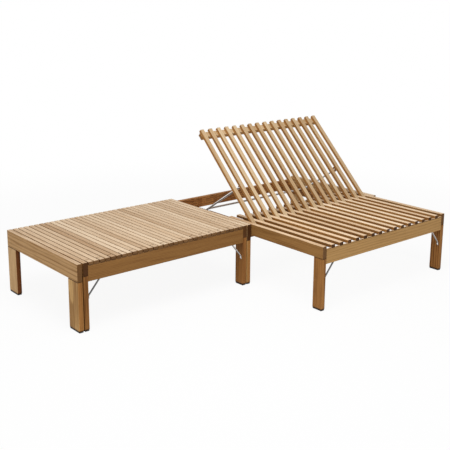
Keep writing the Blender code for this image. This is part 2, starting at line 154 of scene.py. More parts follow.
@dataclass(frozen=True)
class Timbers:
    """The kinds of teak in the lounger, from slats painted pale on top as light from above to the dark
    rails underneath.
    """

    # Closed slats: their sides are painted pale near the top, as painted light in the gaps.
    closed_slat: TeakFinish = TeakFinish(
        end_light=(0.20, 0.100, 0.038), end_dark=(0.075, 0.032, 0.010), bleach=0.0075,
    )
    front_tip: TeakFinish = TeakFinish(
        face_light=(0.20, 0.090, 0.026), face_dark=(0.10, 0.038, 0.009),
        end_light=(0.24, 0.125, 0.050), end_dark=(0.095, 0.042, 0.014),
    )
    # Open seat slats: tops painted lighter and sides darker and redder than the closed ones, as painted
    # light on the open seat and painted shade between its slats.
    open_slat: TeakFinish = TeakFinish(
        top_light=(0.91, 0.735, 0.540), top_dark=(0.57, 0.395, 0.238),
        face_light=(0.385, 0.190, 0.053), face_dark=(0.175, 0.069, 0.014),
        end_light=(0.125, 0.055, 0.018), end_dark=(0.045, 0.017, 0.005),
    )
    raised_slat: TeakFinish = TeakFinish(
        top_light=(0.635, 0.488, 0.312), top_dark=(0.385, 0.245, 0.118),
        face_light=(0.46, 0.245, 0.080), face_dark=(0.235, 0.102, 0.026), strip_spread=0.3, contrast=1.4,
    )
    board: TeakFinish = TeakFinish(
        face_light=(0.585, 0.366, 0.168), face_dark=(0.324, 0.170, 0.060),
        end_light=(0.22, 0.105, 0.034), end_dark=(0.083, 0.034, 0.010),
        streak_width=0.009, strip_spread=0.2, contrast=2.2,
    )
    middle_board: TeakFinish = replace(
        board, end_light=(0.090, 0.032, 0.007), end_dark=(0.030, 0.010, 0.002)
    )
    side_rail: TeakFinish = TeakFinish(
        face_light=(0.34, 0.180, 0.060), face_dark=(0.17, 0.074, 0.019),
        end_light=(0.090, 0.034, 0.009), end_dark=(0.034, 0.012, 0.003),
        streak_width=0.009, strip_spread=0.2, contrast=2.2,
    )
    inner_rail: TeakFinish = replace(
        side_rail, end_light=(0.150, 0.062, 0.018), end_dark=(0.050, 0.019, 0.005)
    )
    # Open seat side rails: tops painted lighter than the closed ones, as painted light on the open seat.
    open_side_rail: TeakFinish = TeakFinish(
        top_light=(0.84, 0.670, 0.485), top_dark=(0.50, 0.340, 0.200),
        face_light=(0.37, 0.205, 0.070), face_dark=(0.185, 0.085, 0.022),
        end_light=(0.215, 0.108, 0.040), end_dark=(0.080, 0.034, 0.011),
        streak_width=0.009, strip_spread=0.2, contrast=2.2,
    )
    left_front_rail: TeakFinish = TeakFinish(
        top_light=(0.13, 0.052, 0.014), top_dark=(0.06, 0.022, 0.005),
        face_light=(0.285, 0.142, 0.042), face_dark=(0.145, 0.058, 0.013), contrast=2.2,
    )
    right_front_rail: TeakFinish = TeakFinish(
        face_light=(0.52, 0.310, 0.118), face_dark=(0.275, 0.135, 0.039), contrast=1.6,
    )
    batten: TeakFinish = TeakFinish(
        top_light=(0.40, 0.230, 0.090), top_dark=(0.22, 0.108, 0.035),
        face_light=(0.56, 0.325, 0.125), face_dark=(0.31, 0.150, 0.043),
        end_light=(0.30, 0.155, 0.055), end_dark=(0.15, 0.068, 0.022), contrast=1.6,
    )
    # Base legs: the front tone paints their front faces darker, as painted shade.
    base_leg: TeakFinish = TeakFinish(
        face_light=(0.71, 0.455, 0.188), face_dark=(0.32, 0.167, 0.054), front_tone=(0.58, 0.43, 0.30),
        streak_width=0.006, strip_spread=0.3, contrast=2.2,
    )
    # Back legs: their front faces are painted darker still, as the shade the platform casts on them.
    back_leg: TeakFinish = replace(
        base_leg, face_light=(0.80, 0.560, 0.300), face_dark=(0.39, 0.235, 0.105),
        front_tone=(0.26, 0.125, 0.060),
    )
    # Seat legs: the front tone paints their front faces lighter, as painted light.
    seat_leg: TeakFinish = TeakFinish(
        face_light=(0.355, 0.165, 0.047), face_dark=(0.138, 0.053, 0.012), front_tone=(1.08, 1.08, 1.05),
        streak_width=0.009, strip_spread=0.3, contrast=3.0,
    )
    back_rail: TeakFinish = TeakFinish(
        top_light=(0.40, 0.19, 0.060), top_dark=(0.22, 0.090, 0.022),
        face_light=(0.43, 0.186, 0.054), face_dark=(0.15, 0.055, 0.014),
        streak_width=0.009, strip_spread=0.2, contrast=2.2,
    )
    under: TeakFinish = TeakFinish(
        top_light=(0.30, 0.140, 0.044), top_dark=(0.15, 0.058, 0.014),
        face_light=(0.28, 0.120, 0.034), face_dark=(0.13, 0.048, 0.011), strip_spread=0.2,
    )


@dataclass(frozen=True)
class SteelFinish:
    """Brushed stainless rod, with how strongly its underside is painted dark as shade below a lighter top.
    """

    colour: Colour = (0.80, 0.780, 0.755)
    dull: Colour = (0.19, 0.178, 0.165)
    rough: float = 0.15
    brush_width: float = 0.0004
    tarnish: float = 0.0


@dataclass(frozen=True)
class Steels:
    """Pale steel of prop arms and worn steel of crossbars, both with painted underside shade, drawn steel
    of the left braces painted darker as shade and dark reflections, and bronzed hinges.
    """

    pale: SteelFinish = SteelFinish(tarnish=1.0)
    worn: SteelFinish = SteelFinish(colour=(0.46, 0.400, 0.350), dull=(0.15, 0.115, 0.090), tarnish=1.0)
    drawn: SteelFinish = SteelFinish(colour=(0.19, 0.188, 0.185), dull=(0.08, 0.079, 0.077), rough=0.10)
    bronzed: SteelFinish = SteelFinish(colour=(0.13, 0.070, 0.034), dull=(0.06, 0.030, 0.014), rough=0.34)


@dataclass(frozen=True)
class RubberFinish:
    """Matt black foot pad, dusty in places."""

    colour: Colour = (0.006, 0.006, 0.006)
    dust: Colour = (0.022, 0.020, 0.018)
    rough: float = 0.78


@dataclass(frozen=True)
class CameraFit:
    """The photograph's camera, fitted to points of the lounger."""

    place: Place = (-2.6473, -3.0183, 1.4556)
    heading_deg: float = 40.314
    pitch_deg: float = -12.91
    roll_deg: float = 0.436
    focal_px: float = 804.4
    horizon_row: float = 180.0
    image_px: int = 450
    sensor_mm: float = 36.0
    sight: float = 200.0


@dataclass(frozen=True)
class StudioLight:
    """A soft top light and a pale surround."""

    surround: float = 0.42
    key_watts: float = 110.0
    key_size: float = 2.6
    key_place: Place = (-1.0, -1.0, 3.4)
    key_aim: Place = (0.0, 0.0, 0.3)
    floor_colour: Colour = (0.80, 0.80, 0.80)
    floor_rough: float = 0.9
    floor_tiles: int = 8
    floor_reach: float = 30.0
    floor_gap: float = 0.0004
    veil_near: float = 0.92
    veil_from: float = 1.5
    veil_to: float = 3.4


class Lounger:
    """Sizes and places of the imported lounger, read from its frame."""

    def __init__(self, frame: Frame) -> None:
        """Reads the sizes that the dressing follows.
        """
        self.nodes: dict[str, bpy.types.Object] = frame["nodes"]
        self.slots = {s["node"]: s["material_slot"] for s in frame["record"]["subparts"]}
        left_low, left_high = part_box("left_end_board")
        middle_low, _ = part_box("middle_board")
        rail_low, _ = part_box("left_seat_left_rail")
        self.left = left_low.x
        self.front = left_low.y
        self.top = left_high.z
        self.strip = left_high.x - left_low.x
        self.pitch = rail_low.x - left_low.x
        self.bay_shift = middle_low.x - left_low.x
        self.slat_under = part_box("left_hinge_beam")[1].z
        self.base_leg_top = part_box("front_leg_left")[1].z
        self.seat_leg_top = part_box("left_seat_left_leg")[1].z
        self.foot_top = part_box("front_leg_left")[0].z
        bar_low, bar_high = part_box("left_prop_crossbar")
        self.rod_radius = (bar_high.z - bar_low.z) / 2
        joints = {joint["name"]: joint for joint in frame["joints"]}
        self.hinge = Vector(joints["right_back_hinge"]["pos_m"])
        self.back_angle = math.radians(-joints["right_back_hinge"]["range_deg"][0])
        self.prop_pivot = {bay: Vector(joints[f"{bay.word}_prop_hinge"]["pos_m"]) for bay in Bay}
        ratio = -frame["record"]["behaviour"]["couplings"][0]["ratio"]
        self.prop_slope = self.back_angle * (ratio - 1.0)

    def seat_lanes(self, bay: Bay) -> list[int]:
        """The strips of a bay that are seat slats."""
        return list(range(bay.first + 2, bay.first + 2 + 2 * SEAT_SLATS, 2))

    def back_lanes(self, bay: Bay) -> list[int]:
        """The strips of a bay that are slats of its back."""
        return list(range(bay.first + 1, bay.first + 2 + 2 * SEAT_SLATS, 2))

    def lane_start(self, lane: int) -> float:
        """Where the left side of a strip lies along X."""
        return self.left + lane * self.pitch

    def raised(self) -> Matrix:
        """Takes a point of a closed back to where it lies on the raised right back."""
        hinge = Matrix.Translation(self.hinge)
        return hinge @ Matrix.Rotation(self.back_angle, 4, "X") @ hinge.inverted()

    def raised_crease(self) -> float:
        """Where the top of a raised left back meets the top of its seat, along Y."""
        return self.hinge.y - (self.top - self.hinge.z) * math.tan(self.back_angle / 2)


class Signal:
    """A number in a shader that takes part in ordinary arithmetic."""

    def __init__(self, graph: "Graph", socket: bpy.types.NodeSocket) -> None:
        """Wraps a socket of a graph."""
        self.graph = graph
        self.socket = socket

    def __add__(self, other: "Signal | float") -> "Signal":
        """This plus another."""
        return self.graph.math("ADD", self, other)

    def __radd__(self, other: float) -> "Signal":
        """A plain number plus this."""
        return self.graph.math("ADD", other, self)

    def __sub__(self, other: "Signal | float") -> "Signal":
        """This less another."""
        return self.graph.math("SUBTRACT", self, other)

    def __rsub__(self, other: float) -> "Signal":
        """A plain number less this."""
        return self.graph.math("SUBTRACT", other, self)

    def __mul__(self, other: "Signal | float") -> "Signal":
        """This times another."""
        return self.graph.math("MULTIPLY", self, other)

    def __rmul__(self, other: float) -> "Signal":
        """A plain number times this."""
        return self.graph.math("MULTIPLY", other, self)

    def __truediv__(self, other: "Signal | float") -> "Signal":
        """This over another."""
        return self.graph.math("DIVIDE", self, other)

    def __rtruediv__(self, other: float) -> "Signal":
        """A plain number over this."""
        return self.graph.math("DIVIDE", other, self)

    def __gt__(self, other: "Signal | float") -> "Signal":
        """1 where this is the larger, otherwise 0."""
        return self.graph.math("GREATER_THAN", self, other)

    def __lt__(self, other: "Signal | float") -> "Signal":
        """1 where this is the smaller, otherwise 0."""
        return self.graph.math("LESS_THAN", self, other)

    def __abs__(self) -> "Signal":
        """This without its sign."""
        return self.graph.math("ABSOLUTE", self)

    def floor(self) -> "Signal":
        """The whole part."""
        return self.graph.math("FLOOR", self)

    def fraction(self) -> "Signal":
        """The part after the point."""
        return self.graph.math("FRACT", self)

    def root(self) -> "Signal":
        """The square root."""
        return self.graph.math("SQRT", self)

    def at_least(self, other: "Signal | float") -> "Signal":
        """The larger of two numbers."""
        return self.graph.math("MAXIMUM", self, other)

    def ramp(self, low: float, high: float, start: float = 0.0, end: float = 1.0) -> "Signal":
        """Goes smoothly from a start at low to an end at high.

        Args:
            low: where the start is left.
            high: where the end is reached.
            start: the value below low.
            end: the value above high.

        Returns:
            The new number.
        """
        node = self.graph.node(
            "ShaderNodeMapRange",
            {"interpolation_type": "SMOOTHSTEP"},
            {"Value": self, "From Min": low, "From Max": high, "To Min": start, "To Max": end},
        )
        return Signal(self.graph, node.outputs["Result"])


class Graph:
    """Builds the node tree of one material or world."""

    def __init__(self, owner: bpy.types.Material | bpy.types.World) -> None:
        """Starts from the shader that a new tree holds.

        Args:
            owner: the material or world.
        """
        owner.use_nodes = True
        shader = "Background" if isinstance(owner, bpy.types.World) else "Principled BSDF"
        self.owner = owner
        self.tree = owner.node_tree
        self.surface = self.tree.nodes[shader]

    def node(
        self, kind: str, settings: Settings | None = None, sockets: Sockets | None = None
    ) -> bpy.types.Node:
        """Adds one node.

        Args:
            kind: the node's type.
            settings: its properties, which are set first.
            sockets: values or links of its inputs, by name or place.

        Returns:
            The new node.
        """
        node = self.tree.nodes.new(kind)
        for key, value in (settings or {}).items():
            setattr(node, key, value)
        for key, value in (sockets or {}).items():
            self.feed(node.inputs[key], value)
        return node

    def feed(self, target: bpy.types.NodeSocket, value: Any) -> None:
        """Links a signal or socket to an input, or sets a constant on it.

        Args:
            target: the input.
            value: the signal, socket or constant.
        """
        if isinstance(value, Signal):
            value = value.socket
        if isinstance(value, bpy.types.NodeSocket):
            self.tree.links.new(value, target)
        else:
            target.default_value = value

    def math(self, operation: str, *terms: Signal | float) -> Signal:
        """One step of arithmetic."""
        node = self.node("ShaderNodeMath", {"operation": operation}, dict(enumerate(terms)))
        return Signal(self, node.outputs[0])

    def coordinates(self, output: str) -> bpy.types.NodeSocket:
        """A texture coordinate that stays with the piece."""
        return self.node("ShaderNodeTexCoord").outputs[output]

    def turned(
        self, vector: bpy.types.NodeSocket, angle: float, shift: Vector | None = None
    ) -> bpy.types.NodeSocket:
        """A direction turned about the X axis, or a point turned and then shifted.

        Args:
            vector: the direction or point.
            angle: how far it is turned.
            shift: how far a point is shifted; without it the vector is a direction.

        Returns:
            The turned vector.
        """
        sockets: Sockets = {"Vector": vector, "Rotation": (angle, 0.0, 0.0)}
        if shift is not None:
            sockets["Location"] = shift
        kind = "VECTOR" if shift is None else "POINT"
        return self.node("ShaderNodeMapping", {"vector_type": kind}, sockets).outputs["Vector"]

    def split(self, vector: bpy.types.NodeSocket) -> tuple[Signal, Signal, Signal]:
        """The three numbers of a vector."""
        x, y, z = self.node("ShaderNodeSeparateXYZ", sockets={0: vector}).outputs
        return Signal(self, x), Signal(self, y), Signal(self, z)

    def vector(self, x: Signal | float, y: Signal | float, z: Signal | float) -> bpy.types.NodeSocket:
        """A vector of three numbers."""
        return self.node("ShaderNodeCombineXYZ", sockets={0: x, 1: y, 2: z}).outputs[0]

    def noise(self, vector: bpy.types.NodeSocket, detail: float, rough: float = 0.55) -> Signal:
        """Soft noise of unit size, from 0 to 1."""
        sockets: Sockets = {"Vector": vector, "Scale": 1.0, "Detail": detail, "Roughness": rough}
        return Signal(self, self.node("ShaderNodeTexNoise", sockets=sockets).outputs["Fac"])

    def chance(self, seed: Signal) -> tuple[Signal, Signal, Signal]:
        """Three unrelated numbers from 0 to 1 for each value of a seed.

        Args:
            seed: a number that is the same all over one timber.

        Returns:
            The three numbers.
        """
        draw = self.node("ShaderNodeTexWhiteNoise", {"noise_dimensions": "1D"}, {"W": seed})
        a, b, c = self.node("ShaderNodeSeparateColor", sockets={0: draw.outputs["Color"]}).outputs
        return Signal(self, a), Signal(self, b), Signal(self, c)

    def choose(self, share: Signal, first: Signal | float, second: Signal | float) -> Signal:
        """A number that goes from the first to the second."""
        node = self.node("ShaderNodeMix", {"data_type": "FLOAT"}, {0: share, 2: first, 3: second})
        return Signal(self, node.outputs[0])

    def blend(
        self, share: Signal | float, first: Any, second: Any, how: str = "MIX"
    ) -> bpy.types.NodeSocket:
        """A colour that goes from the first to the second.

        Args:
            share: how far it has gone, from 0 to 1.
            first: a colour or the socket of one.
            second: a colour or the socket of one.
            how: the way the second is laid over the first.

        Returns:
            The socket of the colour.
        """
        sockets: Sockets = {0: share}
        for at, value in ((6, first), (7, second)):
            sockets[at] = (*value, 1.0) if isinstance(value, tuple) else value
        return self.node("ShaderNodeMix", {"data_type": "RGBA", "blend_type": how}, sockets).outputs[2]

    def bump(self, height: Signal, distance: float, strength: float) -> None:
        """Raises the surface a little by a height.

        Args:
            height: the height, from 0 to 1.
            distance: how far 1 is, in metres.
            strength: how strongly it shows.
        """
        sockets: Sockets = {"Strength": strength, "Distance": distance, "Height": height}
        node = self.node("ShaderNodeBump", sockets=sockets)
        self.feed(self.surface.inputs["Normal"], node.outputs["Normal"])

    def set_surface(self, **values: Any) -> None:
        """Sets or links inputs of the shader, with underscores for spaces."""
        for key, value in values.items():
            self.feed(self.surface.inputs[key.replace("_", " ")], value)


@dataclass(frozen=True)
class GrainShape:
    """How the figure of teak lies: lengths in metres, frequencies per metre, and shares.

    A spread is how far strips differ from each other. Fine frequencies run across the grain and coarse
    ones along it.
    """

    start_spread: float = 7.0
    side_spread: float = 0.9
    pith_spread: float = 0.16
    pith_depth: float = 0.03
    pith_depth_spread: float = 0.07
    ring_spread: float = 9.0
    ring_wander: float = 0.012
    wander_fine: float = 18.0
    wander_coarse: float = 1.6
    drift_fine: float = 26.0
    drift_coarse: float = 2.2
    streak_coarse: float = 5.0
    streak_detail: float = 4.0
    streak_rough: float = 0.6
    pore_coarse: float = 42.0
    pore_detail: float = 1.0
    late_from: float = 0.45
    late_to: float = 0.95
    pore_from: float = 0.58
    pore_to: float = 0.74


@dataclass(frozen=True)
class GrainShares:
    """How strongly each part of the figure shows in the colour, the cut ends, the gloss and the relief."""

    streak: float = 0.75
    drift: float = 0.45
    late: float = 0.22
    lines_middle: float = 0.655
    depth_middle: float = 0.375
    hue: float = 0.8
    pore: float = 0.28
    cut_late: float = 0.5
    cut_streak: float = 0.55
    rough_streak: float = 0.16
    rough_pore: float = 0.1
    rough_cut: float = 0.12
    relief_streak: float = 0.5
    relief_late: float = 0.25
    relief_pore: float = 0.9
    relief_strength: float = 0.5


@dataclass(frozen=True)
class Fibre:
    """The grain at a point of a piece of teak, as numbers of a shader."""

    streak: Signal
    drift: Signal
    late: Signal
    pore: Signal
    tint: Signal
    warmth: Signal


@dataclass(frozen=True)
class Facing:
    """How far a point shows end grain, looks up, and looks to the front or back."""

    end: Signal
    sky: Signal
    front: Signal


class TeakMaker:
    """Makes teak whose grain, end grain and tint follow each strip of the lounger.

    Strips are numbered along the lounger, and the chances of a strip's figure follow its number. Rails
    that cross the slats have a number of their own, and legs one for each place along Y.
    """

    RAIL_NUMBER = 71.0
    LEG_NUMBER = 131.0
    LEG_PLACES_PER_METRE = 2.5
    SEED_OFFSET = 0.37
    GAP_SHARE = 0.9
    FACES_UP = (0.35, 0.85)
    FACES_END = (0.5, 0.72)
    FACES_FRONT = (0.6, 0.85)
    BLEACH_LEAST = 0.25
    BLEACH_SPREAD = 1.5
    BLEACH_FADE = (0.4, 1.0)
    BLEACH_SHARE = 0.95
    DARK_FRONT = 0.04
    SEAM_CORE = 0.3
    SEAM_SHARE = 0.85
    SPECULAR = 0.12

    def __init__(self, lounger: Lounger) -> None:
        """Keeps the sizes that the strips follow."""
        self.lounger = lounger
        self.shape, self.shares = GrainShape(), GrainShares()

    def material(
        self, name: str, finish: TeakFinish, grain: Grain, raised: bool = False,
        rail: TeakFinish | None = None, seams: Sequence[tuple[float, float]] = (),
    ) -> bpy.types.Material:
        """Makes one kind of teak.

        Args:
            name: the material's name.
            finish: its colours and grain sizes.
            grain: which way the fibres run.
            raised: whether the piece stands tipped up with the right back.
            rail: the finish of the rail or batten in a piece that has slats on top of one.
            seams: heights of joints whose shadow darkens the wood beside them, each with how far.

        Returns:
            The new material.
        """
        graph = Graph(bpy.data.materials.new(name))
        place, facing = self._closed_space(graph, raised)
        x, y, z = graph.split(place)
        nx, ny, nz = graph.split(facing)
        across, along, up = self._ordered((x, y, z), grain)
        _, normal_along, _ = self._ordered((nx, ny, nz), grain)
        half_gap = (self.lounger.pitch - self.lounger.strip) / 2
        strip = (x - self.lounger.left + half_gap) / self.lounger.pitch
        number = strip.floor()
        if rail:
            share = self._rail_share(strip, z)
            across, along = graph.choose(share, x, y), graph.choose(share, y, x)
            normal_along = graph.choose(share, ny, nx)
            number = graph.choose(share, number, self.RAIL_NUMBER)
        elif grain is Grain.UPRIGHT:
            number = number + (y * self.LEG_PLACES_PER_METRE).floor() * self.LEG_NUMBER
        seeds = graph.chance(number + self.SEED_OFFSET)
        fibre = self._fibre(graph, finish, (across, along, up), seeds)
        # Painted light and shade: faces that look up take the pale top colours, the rest the darker face
        # colours.
        sky = nz.ramp(*self.FACES_UP)
        # Painted light on the sides of slats near their tops, which lightens the shade in the gaps.
        if finish.bleach:
            sky = sky.at_least(self._bleached(finish, fibre, y, z))
        sight = Facing(abs(normal_along).ramp(*self.FACES_END), sky, abs(ny).ramp(*self.FACES_FRONT))
        colour = self._colour(graph, finish, fibre, sight)
        if rail:
            colour = graph.blend(share, colour, self._colour(graph, rail, fibre, sight))
        for seam, reach in seams:
            shade = abs(z - seam).ramp(self.SEAM_CORE * reach, reach, self.SEAM_SHARE, 0.0)
            colour = graph.blend(shade, colour, finish.end_dark)
        shares = self.shares
        rough = fibre.streak * shares.rough_streak + fibre.pore * shares.rough_pore
        rough = finish.rough + rough + sight.end * shares.rough_cut
        graph.set_surface(Base_Color=colour, Roughness=rough, Specular_IOR_Level=self.SPECULAR)
        relief = fibre.streak * shares.relief_streak - fibre.late * shares.relief_late
        graph.bump(relief - fibre.pore * shares.relief_pore, finish.relief, shares.relief_strength)
        LOG.info("teak %s has %d nodes", name, len(graph.tree.nodes))
        return graph.owner

    def _closed_space(
        self, graph: Graph, raised: bool
    ) -> tuple[bpy.types.NodeSocket, bpy.types.NodeSocket]:
        """Where a point lies and faces once its back is laid flat.

        Args:
            graph: the tree to build in.
            raised: whether the piece stands tipped up with the right back.

        Returns:
            The place and the direction.
        """
        place, facing = graph.coordinates("Object"), graph.coordinates("Normal")
        if not raised:
            return place, facing
        angle = -self.lounger.back_angle
        shift = self.lounger.hinge - Matrix.Rotation(angle, 3, "X") @ self.lounger.hinge
        return graph.turned(place, angle, shift), graph.turned(facing, angle)

    @staticmethod
    def _ordered(parts: Sequence[Signal], grain: Grain) -> tuple[Signal, Signal, Signal]:
        """The parts of a vector as across, along and up the grain.

        Args:
            parts: the parts along X, Y and Z.
            grain: which way the fibres run.

        Returns:
            The parts in the grain's order.
        """
        x, y, z = parts
        orders = {
            Grain.FRONT_TO_BACK: (x, y, z),
            Grain.LENGTHWISE: (y, x, z),
            Grain.UPRIGHT: (x, z, y),
        }
        return orders[grain]

    def _rail_share(self, strip: Signal, z: Signal) -> Signal:
        """Tells the rail or batten of a slatted piece from its slats.

        Args:
            strip: the place along the lounger, counted in strips.
            z: the height.

        Returns:
            1 on the rail or batten and 0 on the slats.
        """
        below = z < self.lounger.slat_under
        half_gap = (1.0 - self.lounger.strip / self.lounger.pitch) / 2
        beside = abs(strip.fraction() - 0.5) > 0.5 - self.GAP_SHARE * half_gap
        return below.at_least(beside)

    def _bleached(self, finish: TeakFinish, fibre: Fibre, y: Signal, z: Signal) -> Signal:
        """Painted light: how far the sides of a slat are painted as pale as its top, lightening the shade
        in the gaps.

        Args:
            finish: how far down the painted side light goes.
            fibre: the grain, by whose warmth slats differ.
            y: the place from front to back.
            z: the height.

        Returns:
            A share that is 0 at the front and low down.
        """
        reach = finish.bleach * (self.BLEACH_LEAST + self.BLEACH_SPREAD * fibre.warmth)
        deep = (self.lounger.top - z) / reach
        from_front = (y - self.lounger.front).ramp(0.0, self.DARK_FRONT)
        return deep.ramp(*self.BLEACH_FADE, self.BLEACH_SHARE, 0.0) * from_front

    def _fibre(
        self, graph: Graph, finish: TeakFinish, space: tuple[Signal, Signal, Signal],
        seeds: tuple[Signal, Signal, Signal],
    ) -> Fibre:
        """Streaks, growth rings and pores along the grain.

        Args:
            graph: the tree to build in.
            finish: the grain sizes.
            space: the place across, along and up the grain.
            seeds: three chances of the strip.

        Returns:
            The grain at a point.
        """
        shape = self.shape
        across, along, up = space
        seed_a, seed_b, seed_c = seeds
        along = along + seed_a * shape.start_spread
        pith_across = across + (seed_c - 0.5) * shape.pith_spread
        across = across + seed_b * shape.side_spread

        def drawn_out(fine: float, coarse: float, detail: float = 2.0, rough: float = 0.55) -> Signal:
            """Noise that is drawn out along the grain."""
            return graph.noise(graph.vector(across * fine, along * coarse, up * fine), detail, rough)

        deep = up + shape.pith_depth + seed_b * shape.pith_depth_spread
        wander = drawn_out(shape.wander_fine, shape.wander_coarse) * shape.ring_wander
        distance = (pith_across * pith_across + deep * deep).root() + wander
        ring = (distance / finish.ring_spacing + seed_a * shape.ring_spread).fraction()
        streaks_per_metre, pores_per_metre = 1.0 / finish.streak_width, 1.0 / finish.pore_width
        pores = drawn_out(pores_per_metre, shape.pore_coarse, shape.pore_detail)
        return Fibre(
            streak=drawn_out(
                streaks_per_metre, shape.streak_coarse, shape.streak_detail, shape.streak_rough
            ),
            drift=drawn_out(shape.drift_fine, shape.drift_coarse),
            late=ring.ramp(shape.late_from, shape.late_to) * (1.0 - ring.ramp(shape.late_to, 1.0)),
            pore=pores.ramp(shape.pore_from, shape.pore_to),
            tint=(seed_c - 0.5) * finish.strip_spread,
            warmth=seed_b,
        )

    def _colour(
        self, graph: Graph, finish: TeakFinish, fibre: Fibre, sight: Facing
    ) -> bpy.types.NodeSocket:
        """The colour of a finish at a point.

        Args:
            graph: the tree to build in.
            finish: the colours.
            fibre: the grain there.
            sight: the way the surface faces.

        Returns:
            The socket of the colour.
        """
        shares = self.shares
        lines = fibre.streak * shares.streak + fibre.drift * shares.drift + fibre.late * shares.late
        lines = (lines - shares.lines_middle) * finish.contrast
        depth = (lines + fibre.tint + shares.depth_middle).ramp(0.0, 1.0)
        side = graph.blend(depth, finish.face_light, finish.face_dark)
        # Painted light and shade on upright faces that look to the front or back.
        if finish.front_tone:
            side = graph.blend(sight.front, side, finish.front_tone, "MULTIPLY")
        # Painted light: the top colours stand for faces lit from above, the face colours for sides in
        # shade.
        top = graph.blend(depth, finish.top_light, finish.top_dark)
        hue = graph.blend(fibre.warmth, finish.cream, finish.russet)
        face = graph.blend(shares.hue, graph.blend(sight.sky, side, top), hue, "MULTIPLY")
        face = graph.blend(fibre.pore * shares.pore, face, finish.face_dark)
        rings = fibre.late * shares.cut_late + fibre.streak * shares.cut_streak + fibre.tint
        cut = graph.blend(rings.ramp(0.0, 1.0), finish.end_light, finish.end_dark)
        return graph.blend(sight.end, face, cut)


class MetalMaker:
    """Makes brushed steel, clouded here and there and, where the finish asks for it, with painted shade on
    the underside.
    """

    BRUSH_STRETCH = 0.2
    CLOUDS_PER_METRE = 30.0
    CLOUD_EDGE = (0.4, 0.8)
    CLOUD_SHARE = 0.5
    UNDERSIDE = (-0.45, 0.25)
    BRUSH_ROUGH = 0.1
    CLOUD_ROUGH = 0.06
    BRUSH_DEPTH = 0.1
    BRUSH_STRENGTH = 0.2

    def __init__(self, finish: SteelFinish) -> None:
        """Keeps the finish."""
        self.finish = finish

    def material(self, name: str) -> bpy.types.Material:
        """Makes the steel of rods, pins and screws.

        Args:
            name: the material's name.

        Returns:
            The new material.
        """
        graph = Graph(bpy.data.materials.new(name))
        x, y, z = graph.split(graph.coordinates("Object"))
        fine, coarse = 1.0 / self.finish.brush_width, self.CLOUDS_PER_METRE
        brush = graph.noise(graph.vector(x * fine * self.BRUSH_STRETCH, y * fine, z * fine), detail=2.0)
        cloud = graph.noise(graph.vector(x * coarse, y * coarse, z * coarse), detail=3.0)
        shade = cloud.ramp(*self.CLOUD_EDGE) * self.CLOUD_SHARE
        # Painted light and shade: the top keeps the light colour and the underside takes the dark one.
        if self.finish.tarnish:
            _, _, up = graph.split(graph.coordinates("Normal"))
            shade = shade.at_least(up.ramp(*self.UNDERSIDE, self.finish.tarnish, 0.0))
        colour = graph.blend(shade, self.finish.colour, self.finish.dull)
        rough = self.finish.rough + brush * self.BRUSH_ROUGH + cloud * self.CLOUD_ROUGH
        graph.set_surface(Base_Color=colour, Roughness=rough, Metallic=1.0)
        graph.bump(brush, self.finish.brush_width * self.BRUSH_DEPTH, self.BRUSH_STRENGTH)
        LOG.info("steel %s has %d nodes", name, len(graph.tree.nodes))
        return graph.owner


class RubberMaker:
    """Makes the black rubber of the feet."""

    PEBBLES_PER_METRE = 1800.0
    DUST_PER_METRE = 60.0
    DUST_LAYERS = 2.0
    DUST_EDGE = (0.45, 0.75)
    DUST_SHARE = 0.6
    PEBBLE_ROUGH = 0.12
    PEBBLE_DEPTH = 0.0002
    PEBBLE_STRENGTH = 0.4

    def __init__(self, finish: RubberFinish) -> None:
        """Keeps the finish."""
        self.finish = finish

    def material(self, name: str) -> bpy.types.Material:
        """Makes moulded rubber with dust in its texture.

        Args:
            name: the material's name.

        Returns:
            The new material.
        """
        graph = Graph(bpy.data.materials.new(name))
        x, y, z = graph.split(graph.coordinates("Object"))
        fine, coarse = self.PEBBLES_PER_METRE, self.DUST_PER_METRE
        grain = graph.noise(graph.vector(x * fine, y * fine, z * fine), detail=2.0)
        dust = graph.noise(graph.vector(x * coarse, y * coarse, z * coarse * self.DUST_LAYERS), detail=4.0)
        share = dust.ramp(*self.DUST_EDGE) * self.DUST_SHARE
        colour = graph.blend(share, self.finish.colour, self.finish.dust)
        graph.set_surface(Base_Color=colour, Roughness=self.finish.rough + grain * self.PEBBLE_ROUGH)
        graph.bump(grain, self.PEBBLE_DEPTH, self.PEBBLE_STRENGTH)
        LOG.info("rubber %s has %d nodes", name, len(graph.tree.nodes))
        return graph.owner


def bent_path(points: Iterable[Vector], bend: float, steps: int = 10) -> list[Vector]:
    """Rounds the corners of a path.

    Args:
        points: the corners.
        bend: the radius of each bend.
        steps: points along each bend, less one.

    Returns:
        The points of the rounded path.
    """
    corners = list(points)
    path = [corners[0]]
    for before, corner, after in zip(corners, corners[1:], corners[2:]):
        back, ahead = (before - corner).normalized(), (after - corner).normalized()
        half = back.angle(ahead) / 2
        centre = corner + (back + ahead).normalized() * bend / math.sin(half)
        spoke = corner + back * bend / math.tan(half) - centre
        axis, turn = back.cross(ahead), -(math.pi - 2 * half)
        path += [centre + Quaternion(axis, turn * step / steps) @ spoke for step in range(steps + 1)]
    return [*path, corners[-1]]


def bridge(bm: bmesh.types.BMesh, lower: Ring, upper: Ring) -> None:
    """Joins two closed rings of as many points with a band of faces.

    Args:
        bm: the shape being built.
        lower: the first ring.
        upper: the second ring.
    """
    for at in range(len(lower)):
        after = (at + 1) % len(lower)
        bm.faces.new((lower[at], lower[after], upper[after], upper[at]))


def mesh_of(name: str, bm: bmesh.types.BMesh) -> bpy.types.Mesh:
    """Turns a built shape into a mesh.

    Args:
        name: the mesh's name.
        bm: the shape, which is used up.

    Returns:
        The new mesh.
    """
    mesh = bpy.data.meshes.new(name)
    bm.to_mesh(mesh)
    bm.free()
    return mesh


